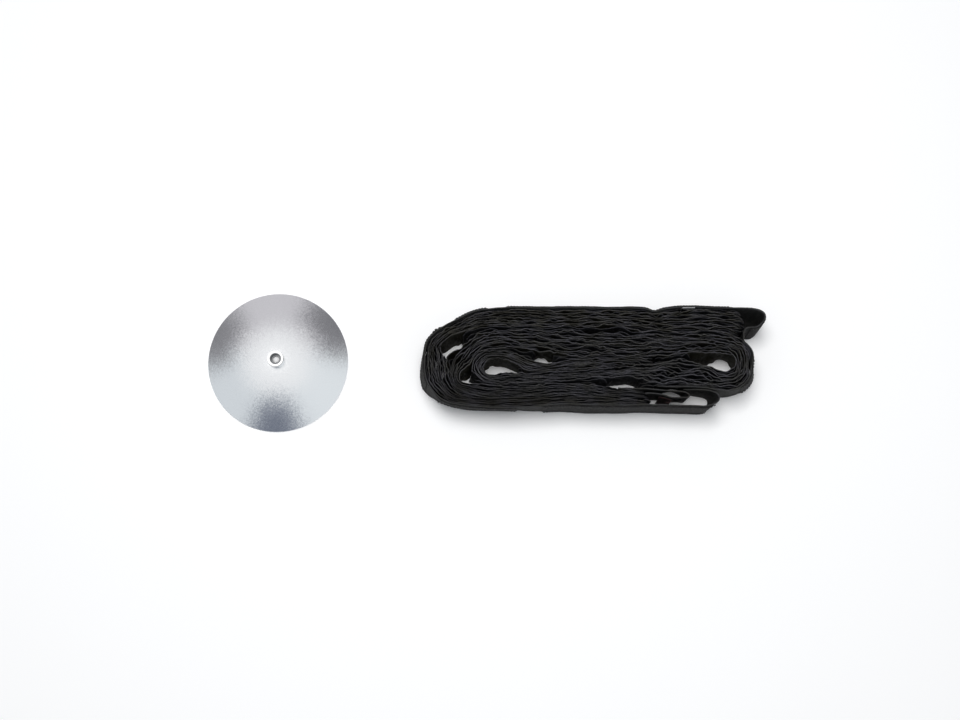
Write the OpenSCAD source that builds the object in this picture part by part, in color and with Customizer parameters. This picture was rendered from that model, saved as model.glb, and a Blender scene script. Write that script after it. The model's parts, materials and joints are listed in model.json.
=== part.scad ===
// Soft-light accessory set lying on a table: a domed metal deflector plate with a socket hub,
// and a fabric egg-crate grid whose strips stand on edge, folded up into a flat bundle.
// Millimetres, +Z up. The origin is on the table, under the middle of the set.

/* [Deflector dish] */
// Outside diameter of the spun dish
dish_d = 144; // [120:1:170]
// Height of the dome's top above the table
dish_h = 16; // [10:0.5:22]
// Sheet thickness of the dish
dish_t = 1; // [0.8:0.1:1.5]
// Height of the turned-down lip round the rim
lip_h = 2; // [1.5:0.1:3]

/* [Hub] */
// Outside diameter of the hub
hub_d = 17; // [14:0.5:24]
// Height of the hub above the top of the dome
hub_h = 10; // [9:0.5:14]
// Diameter of the hub's socket
bore_d = 10.6; // [9:0.1:12]
// Depth of the socket's straight wall
bore_depth = 6; // [4:0.5:6.5]
// Width of the bevels on the hub's mouth and outer edge
hub_bevel = 0.5; // [0.2:0.1:0.8]

/* [Rivet and washer] */
// Diameter of the rivet's shank
shank_d = 4; // [3:0.1:4.8]
// Diameter of the rivet's domed heads
head_d = 6.2; // [5.6:0.1:6.8]
// Height of the rivet's domed heads
head_h = 1.3; // [0.8:0.1:1.5]
// Diameter of the backing washer
washer_d = 15; // [10:0.5:20]
// Thickness of the backing washer
washer_t = 1; // [0.8:0.1:1.6]

/* [Grid fabric] */
// Depth of the grid strips, which is their height as they stand
strip_h = 50; // [38:1:60]
// Thickness of a grid strip
strip_t = 0.5; // [0.3:0.05:0.6]
// Length of one ripple along a strip
ripple_len = 44; // [30:1:60]

/* [Edge band] */
// Thickness of the webbing band round the grid's edge
band_t = 1.2; // [0.8:0.1:1.6]
// Thickness of the hook tape sewn outside the band
tape_t = 1; // [0.6:0.1:1.4]
// How much narrower the hook tape is than the band, shared by its two edges
tape_inset = 3; // [1:0.5:8]

/* [Label] */
// Width of the label sewn inside the band
label_w = 13; // [8:1:20]
// Height of the label
label_h = 21; // [12:1:30]
// Thickness of the label
label_t = 0.3; // [0.2:0.05:0.5]

/* [Layout] */
// Clear table between the dish and the folded grid
item_gap = 82; // [40:1:120]
// How far the middle of the folded grid lies in front of the dish's middle
grid_forward = 5; // [0:1:15]
// Clearance between pieces that are sewn, riveted or laid together
fit_gap = 0.1; // [0.05:0.05:0.2]
// Clearance that a strip keeps from its neighbours
lane_gap = 0.3; // [0.15:0.05:0.35]

/* [Hidden] */
// Each stretch of hook tape: its name, and the points of the edge band where it starts and ends.
TAPES = [
    ["back", 22, 34], ["shoulder", 35, 38], ["left", 39, 44], ["front_left", 45, 50],
    ["front", 51, 62], ["right", 7, 10], ["back_loop", 16, 21]];
// How many gates short of the last each strip stops, so that their ends are staggered. There is
// one number for each strip, first in the outer fold, then in the inner roll.
OUTER_SHORT = [0, 0, 1, 0, 2, 1, 2];
INNER_SHORT = [0, 1, 0, 2, 1, 3, 2];

function strip_name(kind, i) = str(kind, "_strip_", i < 9 ? "0" : "", i + 1);
OUTER_NAMES = [for (i = [0 : len(OUTER_SHORT) - 1]) strip_name("outer", i)];
INNER_NAMES = [for (i = [0 : len(INNER_SHORT) - 1]) strip_name("inner", i)];
TAPE_NAMES = [for (tape = TAPES) str("hook_tape_", tape[0])];

// Gates of the outer fold: each gate is [outer x, outer y, inner x, inner y], and the strips
// share its width. It runs along the back, round the left end and back along the front.
OUTER_GATES = [
    [138, 50.5, 141, 26.5], [122, 50.5, 122, 28], [97, 50, 97, 27.8], [80, 49, 80, 27.5],
    [62, 48, 62, 28], [45, 50, 45, 28.5], [22, 51, 22, 32], [-3, 51, -3, 33],
    [-28, 51, -28, 33], [-53, 51, -53, 33], [-78, 50, -78, 33.5], [-103, 48, -103, 34],
    [-123, 45.5, -119, 31.5], [-139, 38, -134, 26.5], [-150.5, 31, -144, 23.5],
    [-158, 23, -149.5, 19], [-162.5, 12.5, -151.5, 12.5], [-165, 1, -149.2, 4],
    [-165, -10.5, -148.6, -7], [-161.5, -22.5, -147.8, -18], [-154, -32, -144, -26.5],
    [-144, -38, -137, -32.5], [-130, -41.7, -127, -35.5], [-115, -43, -114, -35.8],
    [-98, -43.2, -98, -35.6], [-78, -43.2, -78, -35.6], [-53, -43, -53, -35.6],
    [-28, -43.4, -28, -36], [-3, -44.5, -3, -36.6], [22, -45, 22, -37.5], [42, -44, 42, -38],
    [56, -43.8, 56, -38.8]];

// Gates of the inner roll: along the front, up round the left, along the middle, round the right
// end and back, and last round the small hairpin in the middle.
INNER_GATES = [
    [46, -37.4, 40, -30.6], [21, -37, 21, -29.6], [-5, -36.2, -5, -24.8], [-33, -35.5, -33, -23.8],
    [-63, -35.3, -63, -25.3], [-90, -35.3, -90, -25.5], [-108, -35.5, -108, -25.7],
    [-121, -35, -119, -26], [-132, -32, -126.5, -25.4], [-140, -27.5, -132, -23.3],
    [-145, -20.5, -135, -19.3], [-146.3, -12, -134.5, -14], [-145.5, -4, -131, -9.5],
    [-142.5, 4, -127, -5], [-137, 11.5, -123, -0.8], [-129, 19.5, -118, 4.8],
    [-119, 26, -111, 9], [-106, 30, -102, 11.3], [-92, 31.5, -90, 12], [-75, 31.5, -72, 9.4],
    [-53, 30.5, -53, 9], [-30, 30, -34, 4], [-3, 28, -3, 3], [22, 27, 22, 3], [47, 26, 47, 3.2],
    [72, 25.8, 72, 3], [97, 25.8, 97, 6.6], [118, 26, 116, 7.4], [133.5, 24.4, 130, 6.6],
    [145, 18, 136, 3.4], [153, 3.5, 139, -1], [155.8, -7, 139, -6], [153.5, -17.5, 136, -10.2],
    [146.5, -25, 129, -12], [134, -29, 119, -10.4], [116, -27.6, 107, -5.4], [98, -26, 94.5, -1.4],
    [82, -25.4, 82, 0.1], [66, -24, 66, -0.8], [52, -20.5, 52, -4.4], [38, -18.3, 38, -6.4],
    [20, -18, 20, -8.2], [-3, -19, -3, -10], [-33, -21, -33, -12], [-60, -23, -60, -13.2],
    [-84, -24, -82, -14.8], [-102, -23.8, -98, -15.5], [-114, -21, -106, -14],
    [-122, -14.5, -110.3, -10.5], [-125.3, -8, -111.3, -6.5], [-122, -1.2, -109.3, -2.1],
    [-115, 5, -105, 0.8], [-103, 9, -99, 1.6], [-91, 9, -91, 0.2], [-77, 5, -80, -5],
    [-64, -0.5, -68, -9.8], [-49, -3, -51, -11], [-28, 0, -28, -10], [-3, 1.5, -3, -8.3],
    [20, 1.7, 20, -6.4], [42, 2, 42, -4.6], [58, 2.2, 57, -1.6]];

// Inner face of the edge band: from under the inner roll, round the right end, out into the loop
// at the back, along the back, round the left end, along the front and into the loop at the right.
BAND_POINTS = [
    [60, -24.9], [72, -26.4], [84, -27], [97, -27.4], [110, -28.6], [122, -30.2], [134, -30.6],
    [145, -27.4], [153.5, -20], [157.3, -9], [156.5, 3], [151.5, 13], [145.5, 19.5],
    [142, 24.5], [142.5, 30], [146.5, 34.5], [153, 37], [161, 38.5], [166, 41.5], [166.5, 46],
    [162, 50], [152, 52], [138, 52.3], [122, 52], [100, 52], [86, 51.2], [74, 50.2],
    [62, 49.6], [52, 50.8], [35, 52], [10, 52], [-15, 52.3], [-40, 52.3], [-65, 51.7],
    [-90, 50], [-108, 48.9], [-118, 48.2], [-127, 45.8], [-141, 39.2], [-152.5, 32.2],
    [-160.5, 23.5], [-165.3, 12.5], [-167.5, 1], [-167.3, -11.5], [-164, -24], [-156, -33.5],
    [-146, -39.4], [-132, -42.6], [-115, -43.8], [-98, -44], [-78, -44], [-53, -43.8],
    [-28, -44.3], [-3, -45.5], [22, -46], [42, -45], [56, -45], [70, -45.2], [84, -46],
    [98, -46.6], [107, -47.2], [114, -46], [119, -43], [121, -39], [119.5, -35.4],
    [114, -32.8], [106, -31.8], [97, -31.2], [88, -30.9]];

// Fold of the band's corner inside the loop at the front right, and the strip end curled in it.
CORNER_LOOP_POINTS = [
    [22, -28.3], [34, -28.7], [46, -29.2], [58, -29.8], [70, -30.4], [82, -31.4], [90.5, -33.4],
    [94, -36.8], [92, -39.8], [86, -41.2], [80, -40.6], [74, -38.6], [67, -36.2], [58, -34.9],
    [49, -35.2]];
CORNER_CURL_POINTS = [
    [49, -35.8], [56, -36.4], [63, -37.6], [69, -39], [73.5, -40.6], [74.5, -43],
    [72, -44.2], [69, -43.4]];

// The label's middle, as a point of the edge band and a share of the way to the next one.
LABEL_PLACE = [24, 0.4];

// Longest straight piece in the outline of a strip and of a band.
FACET_LEN = 13;
BAND_FACET_LEN = 6;

// Sizes that follow from those above.
dish_r = dish_d / 2;
dome_r = (pow(dish_r, 2) + pow(dish_h - lip_h, 2)) / (2 * (dish_h - lip_h));
dome_z = dish_h - dome_r;
hub_top = dish_h + hub_h;
bore_r = bore_d / 2;
shank_hole_r = shank_d / 2 + fit_gap;
head_seat_r = head_d / 2 + fit_gap;
head_room = head_h + 2 * fit_gap;
seat_z = hub_top - bore_depth - head_room;
washer_r = washer_d / 2;
washer_top = dome_z + sqrt(pow(dome_r - dish_t, 2) - pow(washer_r, 2)) - fit_gap;
skin_t = band_t + fit_gap + tape_t;
bundle_left = -min([for (p = BAND_POINTS) p.x]) + skin_t;
bundle_right = max([for (p = BAND_POINTS) p.x]) + skin_t;
set_w = dish_d + item_gap + bundle_left + bundle_right;
dish_x = -set_w / 2 + dish_r;
bundle_x = set_w / 2 - bundle_right;
bundle_y = -grid_forward;

function mix(a, b, u) = a * (1 - u) + b * u;
function unit(v) = v / norm(v);
function turn_left(v) = [-v.y, v.x];
function reversed(list) = [for (i = [len(list) - 1 : -1 : 0]) list[i]];
function sum_to(list, i) = i < 0 ? 0 : list[i] + sum_to(list, i - 1);

// A smooth curve through points: the place at share u of the stretch after point i.
function curve_point(points, i, u) =
    let (last = len(points) - 1,
         a = points[max(i - 1, 0)], b = points[i],
         c = points[min(i + 1, last)], d = points[min(i + 2, last)])
    0.5 * (2 * b + (c - a) * u + (2 * a - 5 * b + 4 * c - d) * u * u
           + (3 * b - a - 3 * c + d) * u * u * u);

// Stations along a curve, as pairs of a stretch and a share of it, no more than facet apart.
function stations(points, first, last, facet) = concat(
    [for (i = [first : last - 1])
        let (steps = max(1, ceil(norm(points[i + 1] - points[i]) / facet)))
        for (k = [0 : steps - 1]) [i, k / steps]],
    [[last - 1, 1]]);

// The direction across a line at each of its points, to the left of the way it runs.
function sideways(line) = [for (i = [0 : len(line) - 1])
    turn_left(unit(line[min(i + 1, len(line) - 1)] - line[max(i - 1, 0)]))];

// The flat outline of a ribbon along a line, from near to far to the left of it.
function ribbon_outline(line, near, far) =
    let (side = sideways(line))
    concat([for (i = [0 : len(line) - 1]) line[i] + side[i] * near],
           reversed([for (i = [0 : len(line) - 1]) line[i] + side[i] * far]));

// The line of strip i of a fold: the middle of its lane at each gate, with ripples that stay
// inside the lane, so that neighbours come close in turn and never touch. It stops short[i]
// gates before the last.
function strip_line(gates, short, i) =
    let (count = len(short),
         share = (i + 0.5) / count,
         outer = [for (g = gates) [g[0], g[1]]],
         inner = [for (g = gates) [g[2], g[3]]],
         middle = [for (k = [0 : len(gates) - 1]) mix(outer[k], inner[k], share)],
         runs = [for (k = [0 : len(gates) - 2]) norm(middle[k + 1] - middle[k])])
    [for (s = stations(middle, 0, len(gates) - 1 - short[i], FACET_LEN))
        let (across = mix(inner[s[0]] - outer[s[0]], inner[s[0] + 1] - outer[s[0] + 1], s[1]),
             pitch = norm(across) / count,
             along = sum_to(runs, s[0] - 1) + runs[s[0]] * s[1],
             room = max(0, (pitch - strip_t - lane_gap) / 2),
             ripple = sin(360 * along / ripple_len + 180 * i + 25 * sin(along + 70 * i)))
        curve_point(middle, s[0], s[1]) + unit(across) * room * ripple];

module standing(height, lift = 0) {
    translate([bundle_x, bundle_y, lift])
        linear_extrude(height = height)
            children();
}

module folded_strip(gates, short, i) {
    line = strip_line(gates, short, i);
    color("#26262a")
        standing(strip_h)
            polygon(ribbon_outline(line, -strip_t / 2, strip_t / 2));
}

function band_line(points, first, last) =
    [for (s = stations(points, first, last, BAND_FACET_LEN)) curve_point(points, s[0], s[1])];

// A ribbon whose face nearest the strips lies on a line, and whose thickness is outside it.
module band_ribbon(points, first, last, near, thickness) {
    line = band_line(points, first, last);
    polygon(ribbon_outline(line, -near, -near - thickness));
}

module edge_band() {
    color("#2b2a29")
        standing(strip_h)
            band_ribbon(BAND_POINTS, 0, len(BAND_POINTS) - 1, 0, band_t);
}

module hook_tape(i) {
    tape = TAPES[i];
    color("#33312f")
        standing(strip_h - tape_inset, tape_inset / 2)
            band_ribbon(BAND_POINTS, tape[1], tape[2], band_t + fit_gap, tape_t);
}

module corner_loop() {
    color("#2b2a29")
        standing(strip_h)
            band_ribbon(CORNER_LOOP_POINTS, 0, len(CORNER_LOOP_POINTS) - 1, 0, band_t);
}

module corner_curl() {
    color("#3a2f2d")
        standing(strip_h)
            band_ribbon(CORNER_CURL_POINTS, 0, len(CORNER_CURL_POINTS) - 1, 0, strip_t);
}

// The label hangs from the band's top edge, flat against its inner face.
module care_label() {
    foot = curve_point(BAND_POINTS, LABEL_PLACE[0], LABEL_PLACE[1]);
    along = unit(BAND_POINTS[LABEL_PLACE[0] + 1] - BAND_POINTS[LABEL_PLACE[0]]);
    color("#f2f2f0")
        standing(label_h, strip_h - label_h)
            translate(foot + turn_left(along) * (fit_gap + label_t / 2))
                rotate(atan2(along.y, along.x))
                    square([label_w, label_t], center = true);
}

// A solid under a sphere that shares the dome's centre.
module under_dome(inset) {
    translate([dish_x, 0, dome_z])
        sphere(r = dome_r - inset, $fn = 80);
}

module at_dish(z = 0) {
    translate([dish_x, 0, z])
        children();
}

module deflector_dish() {
    color("#c9cbce")
        difference() {
            union() {
                intersection() {
                    difference() {
                        under_dome(0);
                        under_dome(dish_t);
                    }
                    at_dish(lip_h)
                        cylinder(r = dish_r, h = dish_h, $fn = 96);
                }
                at_dish()
                    rim();
            }
            at_dish(dish_h - 2 * dish_t)
                cylinder(r = shank_hole_r, h = 3 * dish_t, $fn = 48);
        }
}

// The turned-down lip: a flat-footed ring with its outer top edge rounded over.
module rim() {
    rotate_extrude($fn = 96)
        difference() {
            translate([dish_r - 1.6 * dish_t, 0])
                square([1.6 * dish_t, lip_h + 0.3 * dish_t]);
            difference() {
                translate([dish_r - dish_t, lip_h - 0.7 * dish_t])
                    square([2 * dish_t, 2 * dish_t]);
                translate([dish_r - dish_t, lip_h - 0.7 * dish_t])
                    circle(r = dish_t, $fn = 48);
            }
        }
}

module bevelled_post(r, h, bevel) {
    cylinder(r = r, h = h - bevel, $fn = 64);
    translate([0, 0, h - bevel])
        cylinder(r1 = r, r2 = r - bevel, h = bevel, $fn = 64);
}

module hub() {
    color("#e4e5e7")
        difference() {
            at_dish(dish_h - 1)
                bevelled_post(hub_d / 2, hub_h + 1, hub_bevel);
            under_dome(-fit_gap);
            at_dish(hub_top - bore_depth)
                cylinder(r = bore_r, h = bore_depth + 1, $fn = 64);
            at_dish(hub_top - hub_bevel)
                cylinder(r1 = bore_r, r2 = bore_r + hub_bevel, h = hub_bevel, $fn = 64);
            at_dish(seat_z)
                cylinder(r = head_seat_r, h = head_room + 1, $fn = 64);
            at_dish(dish_h - 1)
                cylinder(r = shank_hole_r, h = hub_h, $fn = 48);
        }
}

// A domed head standing on z = 0.
module domed_head() {
    head_r = head_d / 2;
    ball_r = (pow(head_r, 2) + pow(head_h, 2)) / (2 * head_h);
    intersection() {
        translate([0, 0, head_h - ball_r])
            sphere(r = ball_r, $fn = 40);
        cylinder(r = head_d, h = 2 * head_h, $fn = 40);
    }
}

module hub_rivet() {
    tail_z = washer_top - washer_t - fit_gap;
    color("#f0f0f1") {
        at_dish(seat_z + fit_gap)
            domed_head();
        at_dish(tail_z)
            cylinder(r = shank_d / 2, h = seat_z + fit_gap - tail_z, $fn = 48);
        at_dish(tail_z)
            mirror([0, 0, 1])
                domed_head();
    }
}

module backing_washer() {
    color("#b5b7ba")
        difference() {
            at_dish(washer_top - washer_t)
                cylinder(r = washer_r, h = washer_t, $fn = 64);
            at_dish(washer_top - 2 * washer_t)
                cylinder(r = shank_hole_r, h = 4 * washer_t, $fn = 48);
        }
}

deflector_dish();
hub();
hub_rivet();
backing_washer();
edge_band();
corner_loop();
corner_curl();
care_label();
for (i = [0 : len(TAPE_NAMES) - 1])
    hook_tape(i);
for (i = [0 : len(OUTER_NAMES) - 1])
    folded_strip(OUTER_GATES, OUTER_SHORT, i);
for (i = [0 : len(INNER_NAMES) - 1])
    folded_strip(INNER_GATES, INNER_SHORT, i);
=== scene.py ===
"""The looks of a soft-light accessory set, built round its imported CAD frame, in metres.

A satin metal deflector dish lies on the left. On the right lies a black fabric egg-crate grid,
folded flat on edge: strips of cloth inside a webbing band with hook tape on its outer face.
Each fabric piece that stands for a CAD solid follows the line of that solid.
"""
import json
import math
import random
from collections import namedtuple

import bpy
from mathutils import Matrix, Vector, kdtree, noise


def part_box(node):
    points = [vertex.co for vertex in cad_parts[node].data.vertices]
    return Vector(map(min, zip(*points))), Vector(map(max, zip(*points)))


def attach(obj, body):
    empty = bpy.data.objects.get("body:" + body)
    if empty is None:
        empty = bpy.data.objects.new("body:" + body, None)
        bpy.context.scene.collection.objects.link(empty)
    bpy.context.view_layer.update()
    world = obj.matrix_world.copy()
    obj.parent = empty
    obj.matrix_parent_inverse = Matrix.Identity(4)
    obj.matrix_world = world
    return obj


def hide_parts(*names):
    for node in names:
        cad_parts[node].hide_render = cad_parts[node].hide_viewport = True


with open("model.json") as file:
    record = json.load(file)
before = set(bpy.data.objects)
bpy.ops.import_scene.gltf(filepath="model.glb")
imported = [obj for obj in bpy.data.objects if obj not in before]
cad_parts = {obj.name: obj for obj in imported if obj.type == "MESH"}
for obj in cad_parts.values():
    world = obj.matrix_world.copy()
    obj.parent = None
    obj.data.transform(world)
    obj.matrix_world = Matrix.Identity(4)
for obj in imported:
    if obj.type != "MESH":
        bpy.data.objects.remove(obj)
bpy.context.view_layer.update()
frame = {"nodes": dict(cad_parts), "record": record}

MM = 0.001
STRIP_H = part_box("outer_strip_01")[1].z

# Seeds of the folds and of the cross strips. Without one the noise would follow the clock.
FOLD_SEED = 21
OUTER_SEED = 11
INNER_SEED = 12

# The folded grid's own origin in the frame.
BUNDLE = Vector((0.1135, -0.005))

# Cloth as it is sewn.
CLOTH_T = 0.45 * MM
HEM_T = 0.85 * MM
HEM_H = 3.2 * MM
CROSS_T = 0.4 * MM
BAND_T = 1.2 * MM
TAPE_T = 1.0 * MM
CURL_T = 0.5 * MM
LABEL_T = 0.3 * MM
RIB_PITCH = 1.5 * MM
RIB_DEPTH = 0.32 * MM

# How a cut edge is rounded: how deep, and the share of the thickness that is left at its end.
BEVEL = 0.3 * MM
EDGE_LEFT = 0.6
HEM_TOP_LEFT = 0.5

# Heights of a strip's levels between its hems, as shares of its height.
WALL_LEVELS = (0.25, 0.45, 0.62, 0.76, 0.86)

# Over how far a tape thins towards its ends, and to what share of its thickness.
TAPE_TAPER = 14 * MM
TAPE_END_SHARE = 0.2

# A stitch: its thickness, how far its middle stands off the tape as a share of that, its widths
# from station to station as shares of that, and the row's distance from the tape's edge.
STITCH_T = 0.45 * MM
STITCH_PROUD = 0.6
STITCH_WIDTHS = (0.5, 1.0, 1.0, 0.5)
STITCH_INSET = 2.2 * MM

# Distance between the stations along a ribbon.
STEP = 1.6 * MM
CROSS_STEP = 1.6 * MM

# Near which place the lines of the band and the strips begin, and how far the strips run on there
# past their CAD solids, in millimetres from the folded grid's origin.
BAND_START = (60, -25)
OUTER_START = (137, 40)
INNER_START = (44, -34)
OUTER_LONGER = 10
INNER_LONGER = 8

# How far the strips' loose ends stay from the band, and how much of the curled end is hidden.
BAND_ROOM = 2.5 * MM
CURL_HIDDEN = 14 * MM

# How the folded cloth leans: [x, y, reach along x, reach along y, shift of the foot as (x, y),
# shift of the top edge as (x, y)], in millimetres from the folded grid's origin.
LEANS = [
    # the two ends of the bundle, whose feet spread
    [-160, -9, 18, 32, (-9.5, -1), (-3.5, 1)],
    [-162, 17, 10, 12, (-3, 0), (-3, 0)],
    [154, -12, 22, 26, (7, 3), (-3, 0)],
    [152, 8, 14, 12, (-6, 0), (4, 0)],
    # the front left, which fans forward
    [-100, -42, 50, 14, (0, 1.5), (0, -4)],
    # the back, with two bulges and a nick
    [-98, 51, 26, 9, (0, 2), (0, 2.5)],
    [80, 52, 40, 8, (0, 1), (0, 1.3)],
    [59, 52, 6, 6, (0, 0), (0, -2.5)],
    # the front left corner, the bare stretch between two tapes, and the upper left corner
    [-149, -36, 15, 12, (0, 1), (-1, -2)],
    [-65, -47, 17, 6, (0, -1.2), (0, -1.2)],
    [-161, 31, 3, 3, (0, 0), (-2, 1.5)],
    # the walls of the eye at the upper left
    [-136, 27, 16, 7, (-1, -3), (0, 0.5)],
    [-152, 24, 7, 7, (0, -7), (0, 0)],
    [-152, 14, 5, 6, (-2, 0), (-1, 0)],
    [-147, 1, 7, 8, (5, 0), (-1.5, 0)],
    [-151, 7, 5, 5, (5, 0), (0, 0)],
    [-142, 6, 7, 9, (-4, 0), (-4, 0)],
    # the small eye at the lower left
    [-127, -6, 9, 8, (1, -7), (0, 0)],
    [-122, -9, 5, 6, (-4, -1), (0, 0)],
    [-126, -27, 12, 6, (0, 0), (0, 2)],
    [-119, -26, 7, 6, (0, 0), (-1.5, 2)],
    # the front wall of the large eye, and both ends of the eye in the middle
    [-88, -16, 14, 5, (0, 0), (0, 2.5)],
    [-68, 7, 9, 6, (0, -5), (0, 0)],
    [-36, 5, 9, 6, (0, -5), (0, 0)],
    # the left end of the eye at the right, and its front and back walls
    [106, 3, 14, 7, (0, -11), (0, 0)],
    [106, -11, 13, 6, (0, 0), (0, 3)],
    [112, 12, 14, 5, (0, 0), (0, -2)],
    # both ends of the gap in the front
    [8, -21, 11, 6, (0, -6), (0, 0)],
    [50, -21, 10, 6, (0, -5), (0, 0)],
    # the folded corner and the front loop of the band
    [80, -31, 16, 7, (0, 7), (0, 0)],
    [84, -41, 9, 4, (0, 4), (0, 2)],
    [121, -42, 7, 9, (-5, 0), (1, 0)],
    # the back loop of the band
    [156, 51, 16, 12, (0, -10), (0, 0)],
    [142, 27, 10, 9, (7, -5), (6, -4)],
    [157, 38, 9, 7, (3, -4), (2, -4)],
    [165, 45, 8, 10, (1, -2), (3, 0)],
    # hollows and humps where top edges part or gather
    [10, 35, 9, 4, (0, 0), (0, 2.2)],
    [10, 28, 9, 4, (0, 0), (0, -2.2)],
    [61, 13, 8, 5, (0, 0), (0, 2.6)],
    [61, 5, 9, 4, (0, 0), (0, -1.5)],
    [-58, 28, 7, 4, (0, 0), (1, 2.2)],
    [-53, 20, 8, 4, (0, 0), (2, -2.2)],
    [-8, 12, 8, 4, (0, 0), (0, 2)],
    [-12, 6, 9, 4, (0, 0), (0, -1.5)],
]

# The squared distance, in reaches, past which a lean is too small to count.
LEAN_END = 6

# Where the folds gape so far that no cross strip spans them: [x, y, reach x, reach y] as above.
EYES = [
    [-143, 17, 14, 14],
    [-128, -13, 10, 9],
    [-96, -2, 22, 12],
    [-51, 6, 9, 7],
    [120, 0, 25, 12],
    [23, -25, 11, 8],
]

# Where the strips lie straight: [x, y, reach x, reach y] as above, and the share that is stilled.
CALM = [60, 36, 95, 15]
CALM_SHARE = 0.65

# A layer of the noise that folds all the cloth: how far it shifts a point, how wide its folds are,
# how much of the point's height counts, and where in the noise it starts.
Folds = namedtuple("Folds", "shift reach upward start")
WANDER = Folds(0.9 * MM, 34 * MM, 0.4, (0, 0, 0))
CRUMPLE = Folds(0.6 * MM, 11 * MM, 0.3, (7, 3, 5))
EDGE_CRUMPLE = Folds(1.0 * MM, 10 * MM, 0.5, (2, 9, 4))
FRAY = Folds(0.3 * MM, 3 * MM, 0.25, (0, 0, 0))
EDGE_RISE = Folds(0.9 * MM, 24 * MM, 0, (0, 0, 0))

# The top edges crumple from this share of the height upwards, in some places more than in others:
# the least of it, how much it varies, over what distance, and at which level of the noise.
EDGE_SHARE = 0.6
UNREST_LEAST = 0.25
UNREST_SPREAD = 1.2
UNREST_REACH = 45 * MM
UNREST_LEVEL = 13 * MM

# How much of the strips' crumpling the stiffer band, tape and label take.
STIFF = 0.3

# How a strip sees the cloth beside it: how far, how nearly abreast, and how much of itself it skips.
WIDE_ROOM = 12.5 * MM
ABREAST = 0.7 * STEP
OWN_STRETCH = 2 * WIDE_ROOM

# How one strip sways and kinks by itself between its neighbours.
SWAY_RUN = 21 * MM
SWAY_HEIGHT = 26 * MM
SWAY_MOST = 3 * MM
SWAY_SHARE = 0.85
SWAY_GAIN = 2.2
KINK_RUN = 5.5 * MM
KINK_SHARE = 0.9

# How far a strip's top edge sinks: anywhere, more where its neighbours squeeze it, in small nicks,
# and at its ends. TIGHT_STEP says how suddenly it drops where it is squeezed.
SINK_RUN = 26 * MM
OPEN_SINK = 1.6 * MM
TIGHT_SINK = 6 * MM
TIGHT_STEP = 5
TIGHT_PITCH = (0.9 * MM, 2.4 * MM)
WIDEST_PITCH = 3 * MM
NICK_RUN = 5 * MM
NICK_SINK = 4 * MM
END_SINK = 9 * MM
END_REACH = 12 * MM

# How far apart in the noise two strips read their own rows, and at which level.
SWAY_ROWS = 0.9
KINK_ROWS = 4.7
SINK_ROWS = 5.3
SINK_LEVEL = 2.1
NICK_ROWS = 3.1
NICK_LEVEL = 7.7

# How the band's two ends are tucked down.
TUCK_SINK = 6 * MM
TUCK_REACH = 16 * MM

# The open cells that get cross strips: the least and the widest gap, the gap from which they get
# two, and the least number of stations.
CELL_LEAST = 1.5 * MM
CELL_MOST = 12 * MM
CELL_WIDE = 5 * MM
CELL_STATIONS = 5

# How a cross strip swings and sinks. The pairs, in millimetres, are ranges to draw from.
CROSS_WAVE = (9, 40)
CROSS_SWING = 0.85
CROSS_DROP = (0.2, 4.0)
CROSS_DEPTH = (0.5, 3.5)
CROSS_ROWS = (0, 100)
CROSS_LEVEL = 0.3
CROSS_END_SINK = 6 * MM
CROSS_END_REACH = 5 * MM
CROSS_LEVELS = 4

noise.seed_set(FOLD_SEED)


# ---------------------------------------------------------------- lines from the frame

def nodes_of(kind):
    """The names of the CAD nodes that start with a word, in order."""
    return sorted(node for node in frame["nodes"] if node.startswith(kind))


def top_outline(node):
    """The outline of a ribbon node's flat top, as points in order round it."""
    mesh = frame["nodes"][node].data
    top = max(v.co.z for v in mesh.vertices)
    level = 0.01 * MM
    digits = 7
    key = [(round(v.co.x, digits), round(v.co.y, digits)) for v in mesh.vertices]
    directed = set()
    for face in mesh.polygons:
        corners = list(face.vertices)
        if all(abs(mesh.vertices[c].co.z - top) < level for c in corners):
            for a, b in zip(corners, corners[1:] + corners[:1]):
                directed.add((key[a], key[b]))
    following = {a: b for a, b in directed if (b, a) not in directed}
    first = min(following)
    outline = [first]
    while following[outline[-1]] != first:
        outline.append(following[outline[-1]])
    return [Vector(p) for p in outline]


def middle_line(node, start):
    """The line midway between a ribbon's two long sides, from the end nearest to start."""
    ring = top_outline(node)
    count = len(ring) // 2

    def pairs(turn):
        return [(ring[(turn + i) % len(ring)], ring[turn - 1 - i]) for i in range(count)]

    def spread(turn):
        return sum((a - b).length for a, b in pairs(turn))

    line = [(a + b) / 2 for a, b in pairs(min(range(count), key=spread))]
    if (line[0] - start).length > (line[-1] - start).length:
        line.reverse()
    return line


def smooth(points, step):
    """A smooth curve through points, cut into steps of one length."""
    cuts = 8
    dense = []
    last = len(points) - 1
    for i in range(last):
        a, b, c, d = points[max(i - 1, 0)], points[i], points[i + 1], points[min(i + 2, last)]
        for k in range(cuts):
            u = k / cuts
            dense.append(0.5 * (2 * b + (c - a) * u + (2 * a - 5 * b + 4 * c - d) * u * u
                                + (3 * b - a - 3 * c + d) * u ** 3))
    dense.append(points[last])
    return even(dense, step)


def even(points, step):
    """Points along a line, one step apart from its first to its last."""
    tiny = 1e-9
    run = runs(points)
    count = max(2, round(run[-1] / step))
    spaced = []
    k = 0
    for i in range(count + 1):
        at = run[-1] * i / count
        while k < len(run) - 2 and run[k + 1] < at:
            k += 1
        share = (at - run[k]) / max(run[k + 1] - run[k], tiny)
        spaced.append(points[k].lerp(points[k + 1], min(1, share)))
    return spaced


def runs(points):
    """How far along a line each of its points lies."""
    run = [0.0]
    for a, b in zip(points, points[1:]):
        run.append(run[-1] + (b - a).length)
    return run


def to_end(run, i):
    """How far a station lies from the nearer end of its line."""
    return min(run[i], run[-1] - run[i])


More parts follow.
